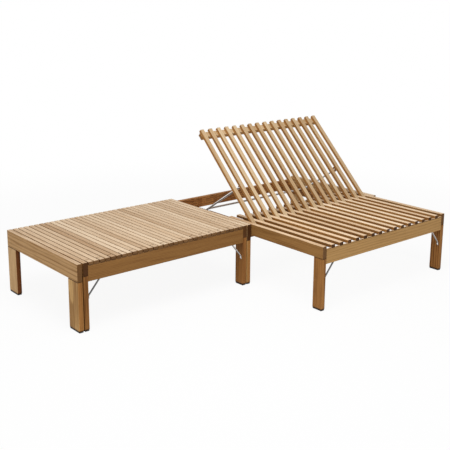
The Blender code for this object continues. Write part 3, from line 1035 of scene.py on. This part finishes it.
def settle(
    name: str, data: bpy.types.Mesh | bpy.types.Curve, body: str, finish: bpy.types.Material
) -> bpy.types.Object:
    """Makes a piece that rides on a body.

    Args:
        name: the piece's name.
        data: its mesh or curve.
        body: the body it rides on.
        finish: its material.

    Returns:
        The new piece.
    """
    data.materials.append(finish)
    piece = bpy.data.objects.new(name, data)
    bpy.context.scene.collection.objects.link(piece)
    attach(piece, body)
    LOG.info("%s rides on %s", name, body)
    return piece


def teak_strip(
    name: str, body: str, outline: Outline, across: tuple[float, float], edge: float,
    teak: bpy.types.Material, place: Matrix | None = None,
) -> bpy.types.Object:
    """A strip of teak of one outline, with eased edges.

    Args:
        name: the piece's name.
        body: the body it rides on.
        outline: the strip from the side, as Y and Z.
        across: where its ends lie along X.
        edge: how far its edges are eased.
        teak: its material.
        place: where it is taken from there.

    Returns:
        The new strip.
    """
    bm = bmesh.new()
    near = bm.faces.new([bm.verts.new((across[0], y, z)) for y, z in outline])
    grown = bmesh.ops.extrude_face_region(bm, geom=[near])
    moved = [part for part in grown["geom"] if isinstance(part, bmesh.types.BMVert)]
    bmesh.ops.translate(bm, verts=moved, vec=(across[1] - across[0], 0.0, 0.0))
    bmesh.ops.recalc_face_normals(bm, faces=bm.faces)
    bmesh.ops.bevel(bm, geom=list(bm.edges), offset=edge, segments=1, affect="EDGES")
    bm.transform(place or Matrix.Identity(4))
    return settle(name, mesh_of(name, bm), body, teak)


class Workshop:
    """Makes the steel pieces that ride on the lounger.

    A screw's rings and recess are shares of its radius. Its recess is a cross: of every six points round
    it, three are drawn in.
    """

    SLOT = "steel"
    ROD_RESOLUTION = 5
    SCREW_SIDES = 24
    SCREW_RINGS = ((1.0, 0.0), (1.0, 0.22), (0.9, 0.42), (0.66, 0.56), (0.34, 0.62))
    RECESS_FLOOR = 0.3
    RECESS_WAIST = 0.5
    RECESS_PERIOD = 6
    RECESS_NARROW = (2, 3, 4)
    COLLAR_AROUND = 28
    COLLAR_SECTION = 8
    COLLAR_RIPPLES = 7
    COLLAR_RIPPLE = 0.12
    SHARP_ANGLE = math.radians(40)

    def __init__(
        self, pale: bpy.types.Material, worn: bpy.types.Material, drawn: bpy.types.Material
    ) -> None:
        """Keeps the three steels.

        Args:
            pale: the steel of prop arms, screws and welds.
            worn: the steel of crossbars.
            drawn: the steel of the left braces, painted darker as shade and dark reflections.
        """
        self.pale = pale
        self.worn = worn
        self.drawn = drawn

    def rod(
        self, name: str, body: str, node: str, path: Sequence[Vector], radius: float,
        steel: bpy.types.Material,
    ) -> bpy.types.Object:
        """A smooth rod in place of a faceted one.

        Args:
            name: the piece's name.
            body: the body it rides on.
            node: the node it stands for.
            path: points along its middle.
            radius: its radius.
            steel: its material.

        Returns:
            The new rod.
        """
        curve = bpy.data.curves.new(name, "CURVE")
        curve.dimensions = "3D"
        curve.bevel_depth = radius
        curve.bevel_resolution = self.ROD_RESOLUTION
        curve.use_fill_caps = True
        spline = curve.splines.new("POLY")
        spline.points.add(len(path) - 1)
        for point, place in zip(spline.points, path):
            point.co = (*place, 1.0)
        spline.use_smooth = True
        rod = settle(name, curve, body, steel)
        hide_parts(node)
        return rod

    def screw(self, name: str, body: str, place: Vector, out: Vector, radius: float) -> bpy.types.Object:
        """A pan-head screw with a cross recess.

        Args:
            name: the piece's name.
            body: the body it rides on.
            place: where the head meets the surface.
            out: the way the head points.
            radius: the head's radius.

        Returns:
            The new screw head.
        """
        bm = bmesh.new()
        turns = [2 * math.pi * side / self.SCREW_SIDES for side in range(self.SCREW_SIDES)]
        spokes = [Vector((math.cos(turn), math.sin(turn), 0.0)) for turn in turns]
        rings = [
            [bm.verts.new(radius * (spoke * share + Vector((0.0, 0.0, height)))) for spoke in spokes]
            for share, height in self.SCREW_RINGS
        ]
        floor = []
        for at, vert in enumerate(rings[-1]):
            narrow = at % self.RECESS_PERIOD in self.RECESS_NARROW
            floor.append(bm.verts.new(vert.co * (self.RECESS_WAIST if narrow else 1.0)))
            floor[-1].co.z = radius * self.RECESS_FLOOR
        for lower, upper in zip(rings, [*rings[1:], floor]):
            bridge(bm, lower, upper)
        bm.faces.new(floor)
        bm.faces.new(list(reversed(rings[0])))
        return self._solid(name, body, bm, place, out)

    def collar(
        self, name: str, body: str, place: Vector, out: Vector, radius: float, bead: float
    ) -> bpy.types.Object:
        """A round bead of weld or a washer about an axis.

        Args:
            name: the piece's name.
            body: the body it rides on.
            place: the middle of the ring.
            out: the ring's axis.
            radius: from the axis to the middle of the bead.
            bead: the bead's own radius.

        Returns:
            The new ring.
        """
        bm = bmesh.new()
        rings = []
        for step in range(self.COLLAR_AROUND):
            turn = 2 * math.pi * step / self.COLLAR_AROUND
            swell = bead * (1.0 + self.COLLAR_RIPPLE * math.sin(self.COLLAR_RIPPLES * turn))
            ring = []
            for part in range(self.COLLAR_SECTION):
                lean = 2 * math.pi * part / self.COLLAR_SECTION
                reach = radius + swell * math.cos(lean)
                point = (reach * math.cos(turn), reach * math.sin(turn), swell * math.sin(lean))
                ring.append(bm.verts.new(point))
            rings.append(ring)
        for ring, ahead in zip(rings, [*rings[1:], rings[0]]):
            bridge(bm, ahead, ring)
        return self._solid(name, body, bm, place, out)

    def _solid(
        self, name: str, body: str, bm: bmesh.types.BMesh, place: Vector, out: Vector
    ) -> bpy.types.Object:
        """Turns a built shape into a smooth piece standing on a place.

        Args:
            name: the piece's name.
            body: the body it rides on.
            bm: the shape, standing on the origin along Z.
            place: where it stands.
            out: the way it points there.

        Returns:
            The new piece.
        """
        bmesh.ops.recalc_face_normals(bm, faces=bm.faces)
        bm.transform(Matrix.Translation(place) @ out.to_track_quat("Z", "Y").to_matrix().to_4x4())
        mesh = mesh_of(name, bm)
        mesh.shade_smooth()
        mesh.set_sharp_from_angle(angle=self.SHARP_ANGLE)
        return settle(name, mesh, body, self.pale)


@dataclass(frozen=True)
class SeatBraces:
    """The steel rods that brace the front legs of one seat.

    Each rod is hooked along its leg and runs up into a hole under the front rail.
    """

    bay: Bay
    hook: float = 0.012
    bend: float = 0.009
    entry_share: float = 0.81
    sunk: float = 0.003
    ferrule: float = 0.0008
    screw_radius: float = 0.0034

    def make(self, workshop: Workshop) -> None:
        """Makes both braces, their screws and ferrules.

        Args:
            workshop: what makes the pieces.
        """
        body = f"{self.bay.word}_seat"
        for side in Side:
            node = f"{body}_{side.word}_brace"
            low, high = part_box(node)
            radius, middle = (high.y - low.y) / 2, (low.y + high.y) / 2
            leg, tip = (low.x, high.x) if side is Side.LEFT else (high.x, low.x)
            wall = leg + side.inward * radius
            entry = wall + self.entry_share * (tip - side.inward * self.hook - wall)
            foot, knee = Vector((wall, middle, low.z)), Vector((wall, middle, low.z + self.hook))
            hole = Vector((entry, middle, high.z))
            path = bent_path([foot, knee, hole], self.bend)
            path[-1] = hole + (hole - knee).normalized() * self.sunk
            # The left braces take steel painted darker as shade and dark reflections; the right ones take
            # the pale steel.
            steel = workshop.pale if side is Side.RIGHT else workshop.drawn
            workshop.rod(f"{node}_rod", body, node, path, radius, steel)
            leg_face = Vector((leg, middle, low.z - self.screw_radius))
            inward = Vector((side.inward, 0, 0))
            workshop.screw(f"{node}_leg_screw", body, leg_face, inward, self.screw_radius)
            workshop.collar(f"{node}_ferrule", body, hole, Vector((0, 0, 1)), radius, self.ferrule)


@dataclass(frozen=True)
class PropRods:
    """The bent steel arms and crossbar that prop one back."""

    bay: Bay
    bend: float = 0.008
    bead: float = 0.0011

    def make(self, workshop: Workshop, lounger: Lounger) -> None:
        """Makes the arms, the crossbar and the welds between them.

        Args:
            workshop: what makes the pieces.
            lounger: sizes of the lounger.
        """
        flat, pivot = lounger.prop_pivot[Bay.LEFT], lounger.prop_pivot[self.bay]
        propped = self.bay is Bay.RIGHT
        turn = Matrix.Rotation(-lounger.prop_slope if propped else 0.0, 3, "X")
        shift = lounger.bay_shift if propped else 0.0
        body = f"{self.bay.word}_prop"

        def carried(point: Vector) -> Vector:
            """Where a point of the folded left prop lies on this prop."""
            from_pivot = Vector((0.0, point.y - flat.y, point.z - flat.z))
            return turn @ from_pivot + Vector((point.x + shift, pivot.y, pivot.z))

        radius = lounger.rod_radius
        bar_low, bar_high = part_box("left_prop_crossbar")
        station = (bar_low.y + bar_high.y) / 2
        for side in Side:
            low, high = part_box(f"left_prop_{side.word}_arm")
            outer, tip = (low.x, high.x) if side is Side.LEFT else (high.x, low.x)
            bar_end = bar_low.x if side is Side.LEFT else bar_high.x
            arm = outer + side.inward * radius
            corners = [(tip, flat.y, flat.z), (arm, flat.y, flat.z), (arm, high.y, flat.z)]
            path = [carried(point) for point in bent_path(map(Vector, corners), self.bend)]
            node = f"{body}_{side.word}_arm"
            workshop.rod(f"{node}_rod", body, node, path, radius, workshop.pale)
            weld = carried(Vector((bar_end + side.inward * self.bead, station, flat.z)))
            workshop.collar(f"{node}_weld", body, weld, Vector((1, 0, 0)), radius, self.bead)
        ends = [carried(Vector((x, station, flat.z))) for x in (bar_low.x, bar_high.x)]
        node = f"{body}_crossbar"
        workshop.rod(f"{node}_rod", body, node, ends, radius, workshop.worn)


@dataclass(frozen=True)
class PropRacks:
    """The notched strips of one bay that the feet of a prop stand in.

    The land of the first notch is just under the feet of the raised right back.
    """

    bay: Bay
    run: float = 0.0008
    tooth: float = 0.003
    spacing: float = 0.016
    slope: float = 0.004
    edge: float = 0.0005

    def make(self, lounger: Lounger, teak: bpy.types.Material) -> None:
        """Makes both racks of the bay.

        Args:
            lounger: sizes of the lounger.
            teak: the racks' material.
        """
        arm_low, arm_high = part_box("right_prop_left_arm")
        radius = lounger.rod_radius
        land, foot = arm_low.z - self.run, arm_high.y - radius
        crest = land + self.tooth
        for side in Side:
            node = f"{self.bay.word}_{side.word}_rack"
            low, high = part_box(node)
            outline = [(low.y, low.z), (high.y, low.z), (high.y, crest)]
            count = int((high.y - radius - self.spacing - foot) / self.spacing)
            for notch in reversed(range(count)):
                seat = foot + notch * self.spacing
                near, far = seat - radius, seat + radius
                outline += [(far, crest), (far, land), (near, land), (near - self.slope, crest)]
            outline.append((low.y, crest))
            across = (low.x, high.x)
            rack = teak_strip(f"{node}_notched", "base", outline, across, self.edge, teak)
            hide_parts(node)


@dataclass(frozen=True)
class TopBattens:
    """The wide top battens of the backs, round the narrower ones of the solids.

    A batten stays clear of the seat slats in front of it and has a thin lip over the back rail.
    """

    height: float = 0.0184
    forward: float = 0.0032
    beyond: float = 0.0030
    lip: float = 0.0040
    lip_height: float = 0.0026
    clear: float = 0.0005
    edge: float = 0.0005

    def make(self, lounger: Lounger, dresser: "Dresser") -> None:
        """Makes the battens of both backs.

        Args:
            lounger: sizes of the lounger.
            dresser: the backs' finishes.
        """
        seat_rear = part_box("left_seat_panel")[1].y
        near, step = seat_rear - self.forward, seat_rear + self.clear
        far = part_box("left_back_rail")[0].y - self.clear
        lip_far = far + self.lip
        top = lounger.slat_under + SlatTips.housing + self.clear / 2
        under, lip_under = top - self.height, top - self.lip_height
        ledge = lounger.slat_under - self.clear
        outline = [
            (near, under), (far, under), (far, lip_under), (lip_far, lip_under),
            (lip_far, top), (step, top), (step, ledge), (near, ledge),
        ]
        finishes = {Bay.LEFT: dresser.left_back, Bay.RIGHT: dresser.right_back}
        for bay in Bay:
            lanes = lounger.back_lanes(bay)
            left = lounger.lane_start(lanes[0]) - self.beyond
            right = lounger.lane_start(lanes[-1]) + lounger.strip + self.beyond
            teak_strip(
                f"{bay.word}_back_top_batten", f"{bay.word}_back", outline, (left, right), self.edge,
                finishes[bay], lounger.raised() if bay is Bay.RIGHT else None,
            )


@dataclass(frozen=True)
class SlatTips:
    """The ends of slats that lie past the rails and battens which the solids stop at.

    Seat slats run on over the top batten of a closed back to the far edge. The slats of the left back
    run on to both edges: at the front their ends stay with the seat, cut to the slope of a raised back.
    """

    edge: float = 0.0014
    housing: float = 0.003
    clear: float = 0.0004

    def make(self, lounger: Lounger, dresser: "Dresser") -> None:
        """Makes the tips of both seats and of the left back.

        Args:
            lounger: sizes of the lounger.
            dresser: the slats' finishes.
        """
        seats = {Bay.LEFT: dresser.left_seat, Bay.RIGHT: dresser.right_seat}
        top, over_rail = lounger.top, lounger.slat_under + self.housing + self.clear
        for bay in Bay:
            body, lanes = f"{bay.word}_seat", lounger.seat_lanes(bay)
            rail_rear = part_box(f"{body}_left_rail")[1].y
            slat_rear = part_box(f"{body}_panel")[1].y
            tip = self._squared(slat_rear - self.edge, rail_rear, over_rail, top)
            self._row(f"{body}_far_tips", body, lanes, tip, lounger, seats[bay])
        lanes = lounger.back_lanes(Bay.LEFT)
        front, far = (corner.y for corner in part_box("left_end_board"))
        slat_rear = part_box("left_back_panel")[1].y
        tip = self._squared(slat_rear - self.edge, far, lounger.slat_under, top)
        self._row("left_back_far_tips", "left_back", lanes, tip, lounger, dresser.left_back)
        crease = lounger.raised_crease() - self.clear
        heel = crease - (top - over_rail) / math.tan(lounger.back_angle)
        tip = [(front, over_rail), (heel, over_rail), (crease, top), (front, top)]
        self._row("left_seat_front_tips", "left_seat", lanes, tip, lounger, dresser.front_tips)

    @staticmethod
    def _squared(near: float, far: float, low: float, high: float) -> Outline:
        """A squared tip seen from the side, from its joint with the slat to its end."""
        return [(far, low), (near, low), (near, high), (far, high)]

    def _row(
        self, name: str, body: str, lanes: Iterable[int], outline: Outline, lounger: Lounger,
        teak: bpy.types.Material,
    ) -> bpy.types.Object:
        """A row of like tips, one in each lane, with eased edges away from the joint.

        Args:
            name: the piece's name.
            body: the body it rides on.
            lanes: the strips that have a tip.
            outline: the tip from the side; its second and third points are at the joint.
            lounger: sizes of the lounger.
            teak: the slats' material.

        Returns:
            The new row of tips.
        """
        bm = bmesh.new()
        eased = []
        for left in map(lounger.lane_start, lanes):
            rings = [[bm.verts.new((x, y, z)) for y, z in outline] for x in (left, left + lounger.strip)]
            bm.faces.new(rings[0])
            bm.faces.new(list(reversed(rings[1])))
            bridge(bm, rings[1], rings[0])
            joint = {ring[at] for ring in rings for at in (1, 2)}
            edges = {edge for ring in rings for vert in ring for edge in vert.link_edges}
            eased += [edge for edge in edges if not set(edge.verts) <= joint]
        bmesh.ops.recalc_face_normals(bm, faces=bm.faces)
        bmesh.ops.bevel(bm, geom=eased, offset=self.edge, segments=1, affect="EDGES")
        return settle(name, mesh_of(name, bm), body, teak)


class Dresser:
    """Gives every node its finish."""

    SEAM = 0.0035
    DAMP = 0.0075

    def __init__(
        self, lounger: Lounger, teak: TeakMaker, steel: bpy.types.Material, rubber: bpy.types.Material
    ) -> None:
        """Makes the kinds of teak.

        Args:
            lounger: the nodes and their sizes.
            teak: what makes teak.
            steel: the finish of hinge pins and brackets.
            rubber: the finish of the feet.
        """
        kinds = Timbers()
        lying, upright, long = Grain.FRONT_TO_BACK, Grain.UPRIGHT, Grain.LENGTHWISE
        self.lounger = lounger
        self.steel = steel
        self.rubber = rubber
        self.board = teak.material("teak_boards", kinds.board, lying)
        self.middle_board = teak.material("teak_middle_board", kinds.middle_board, lying)
        self.left_side_rail = teak.material("teak_left_side_rails", kinds.side_rail, lying)
        self.inner_rail = teak.material("teak_inner_rail", kinds.inner_rail, lying)
        self.right_side_rail = teak.material("teak_right_side_rails", kinds.open_side_rail, lying)
        self.back_rail = teak.material("teak_back_rails", kinds.back_rail, long)
        self.beam = teak.material("teak_beams", kinds.under, long)
        self.runner = teak.material("teak_runners", kinds.under, lying)
        self.raised_block = teak.material("teak_raised_blocks", kinds.under, lying, raised=True)
        # Legs are painted darker towards the foot pads, for this far above them.
        foot_dark = (lounger.foot_top, self.DAMP)
        base_seams = ((lounger.base_leg_top, self.SEAM), foot_dark)
        self.base_leg = teak.material("teak_base_legs", kinds.base_leg, upright, seams=base_seams)
        self.back_leg = teak.material("teak_back_legs", kinds.back_leg, upright, seams=base_seams)
        seat_seams = ((lounger.seat_leg_top, self.SEAM), foot_dark)
        self.seat_leg = teak.material("teak_seat_legs", kinds.seat_leg, upright, seams=seat_seams)
        closed, opened, raised = kinds.closed_slat, kinds.open_slat, kinds.raised_slat
        batten = kinds.batten
        self.left_seat = teak.material("teak_left_seat", closed, lying, rail=kinds.left_front_rail)
        self.right_seat = teak.material("teak_right_seat", opened, lying, rail=kinds.right_front_rail)
        self.left_back = teak.material("teak_left_back", closed, lying, rail=batten)
        self.right_back = teak.material("teak_right_back", raised, lying, raised=True, rail=batten)
        tip_seams = ((lounger.slat_under + SlatTips.housing + SlatTips.clear, self.SEAM),)
        self.front_tips = teak.material("teak_front_tips", kinds.front_tip, lying, seams=tip_seams)

    def finish_for(self, node: str) -> bpy.types.Material:
        """The finish of one node.

        Args:
            node: the node's name.

        Returns:
            Its material.
        """
        right, seat = node.startswith("right"), "seat" in node
        by_name = {
            "left_seat_panel": self.left_seat, "right_seat_panel": self.right_seat,
            "left_back_panel": self.left_back, "right_back_panel": self.right_back,
            "left_seat_right_rail": self.inner_rail, "middle_board": self.middle_board,
        }
        side_rail = self.right_side_rail if right else self.left_side_rail
        base_leg = self.back_leg if node.startswith("back") else self.base_leg
        by_slot = {
            "steel": self.steel,
            "foot_pad": self.rubber,
            "teak_leg": self.seat_leg if seat else base_leg,
            "teak_board": side_rail if seat else self.board,
        }
        by_ending = {
            "prop_block": self.raised_block if right else self.runner,
            "back_rail": self.back_rail,
            "hinge_beam": self.beam,
        }
        ending = "_".join(node.split("_")[-2:])
        general = by_slot.get(self.lounger.slots[node]) or by_ending.get(ending, self.runner)
        return by_name.get(node, general)

    def dress(self) -> None:
        """Puts the finishes on all nodes."""
        for name, obj in self.lounger.nodes.items():
            finish = self.finish_for(name)
            obj.data.materials.clear()
            obj.data.materials.append(finish)
            LOG.info("%s is dressed in %s", name, finish.name)


class Studio:
    """A pale floor, soft light and the photograph's camera."""

    def __init__(self, light: StudioLight, fit: CameraFit) -> None:
        """Keeps the light's and the camera's settings."""
        self.light = light
        self.fit = fit

    def build(self) -> None:
        """Adds the floor, the world, the light and the camera."""
        bpy.context.scene.view_settings.view_transform = "Standard"
        self._floor()
        self._world()
        self._key()
        self._camera()

    @staticmethod
    def _seen(graph: Graph) -> Signal:
        """Tells rays that the camera sees from rays that light the scene.

        Args:
            graph: the tree to build in.

        Returns:
            1 for what is seen straight, in a mirror or through glass, otherwise 0.
        """
        path = graph.node("ShaderNodeLightPath")
        rays = ("Is Camera Ray", "Is Glossy Ray", "Is Transmission Ray")
        straight, mirrored, through = (Signal(graph, path.outputs[ray]) for ray in rays)
        return straight.at_least(mirrored).at_least(through)

    def _floor(self) -> None:
        """A wide pale floor that keeps a faint shadow near the lounger and is white far from it."""
        light = self.light
        bm = bmesh.new()
        bmesh.ops.create_grid(
            bm, x_segments=light.floor_tiles, y_segments=light.floor_tiles, size=light.floor_reach
        )
        mesh = mesh_of("floor", bm)
        floor = bpy.data.objects.new("floor", mesh)
        floor.location.z = -light.floor_gap
        bpy.context.scene.collection.objects.link(floor)
        graph = Graph(bpy.data.materials.new("pale_floor"))
        colour = (*light.floor_colour, 1.0)
        graph.set_surface(Base_Color=colour, Roughness=light.floor_rough, Specular_IOR_Level=0.0)
        x, y, _ = graph.split(graph.coordinates("Object"))
        veil = (x * x + y * y).root().ramp(light.veil_from, light.veil_to, light.veil_near, 1.0)
        glow = graph.node("ShaderNodeEmission")
        shaders: Sockets = {0: self._seen(graph) * veil, 1: graph.surface.outputs[0], 2: glow.outputs[0]}
        mix = graph.node("ShaderNodeMixShader", sockets=shaders)
        graph.feed(graph.tree.nodes["Material Output"].inputs["Surface"], mix.outputs[0])
        mesh.materials.append(graph.owner)

    def _world(self) -> None:
        """A white surround, dimmer as a light than as a backdrop."""
        graph = Graph(bpy.data.worlds.new("studio"))
        level = graph.choose(self._seen(graph), self.light.surround, 1.0)
        graph.set_surface(Color=(1.0, 1.0, 1.0, 1.0), Strength=level)
        bpy.context.scene.world = graph.owner

    def _key(self) -> None:
        """A large soft light above the lounger."""
        data = bpy.data.lights.new("key", "AREA")
        data.energy = self.light.key_watts
        data.shape = "SQUARE"
        data.size = self.light.key_size
        key = bpy.data.objects.new("key", data)
        key.location = self.light.key_place
        key.rotation_mode = "QUATERNION"
        key.rotation_quaternion = (Vector(self.light.key_aim) - key.location).to_track_quat("-Z", "Y")
        bpy.context.scene.collection.objects.link(key)

    def _camera(self) -> None:
        """The fitted camera."""
        fit = self.fit
        data = bpy.data.cameras.new("camera")
        data.sensor_width = fit.sensor_mm
        data.sensor_fit = "HORIZONTAL"
        data.lens = fit.focal_px * fit.sensor_mm / fit.image_px
        data.shift_y = (fit.horizon_row - fit.image_px / 2) / fit.image_px
        data.clip_end = fit.sight
        camera = bpy.data.objects.new("camera", data)
        heading, pitch = math.radians(fit.heading_deg), math.radians(fit.pitch_deg)
        level = Vector((math.sin(heading), math.cos(heading), 0.0))
        ahead = level * math.cos(pitch) + Vector((0.0, 0.0, math.sin(pitch)))
        camera.location = fit.place
        camera.rotation_mode = "QUATERNION"
        roll = Quaternion((0.0, 0.0, 1.0), math.radians(fit.roll_deg))
        camera.rotation_quaternion = ahead.to_track_quat("-Z", "Y") @ roll
        bpy.context.scene.collection.objects.link(camera)
        bpy.context.scene.camera = camera


def main() -> None:
    """Loads the frame, dresses it and notes its size."""
    logging.basicConfig(level=logging.INFO)
    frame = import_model()
    lounger = Lounger(frame)
    steels = Steels()
    pale = MetalMaker(steels.pale).material("brushed_steel")
    worn = MetalMaker(steels.worn).material("worn_steel")
    drawn = MetalMaker(steels.drawn).material("shaded_brace_steel")
    bronzed = MetalMaker(steels.bronzed).material("bronzed_hinge")
    rubber = RubberMaker(RubberFinish()).material("black_rubber")
    dresser = Dresser(lounger, TeakMaker(lounger), bronzed, rubber)
    dresser.dress()
    workshop = Workshop(pale, worn, drawn)
    for bay in Bay:
        SeatBraces(bay).make(workshop)
        PropRods(bay).make(workshop, lounger)
        PropRacks(bay).make(lounger, dresser.runner)
    TopBattens().make(lounger, dresser)
    SlatTips().make(lounger, dresser)
    Studio(StudioLight(), CameraFit()).build()
    LOG.info("dressed %d nodes", len(lounger.nodes))


if __name__ == "__main__":
    main()
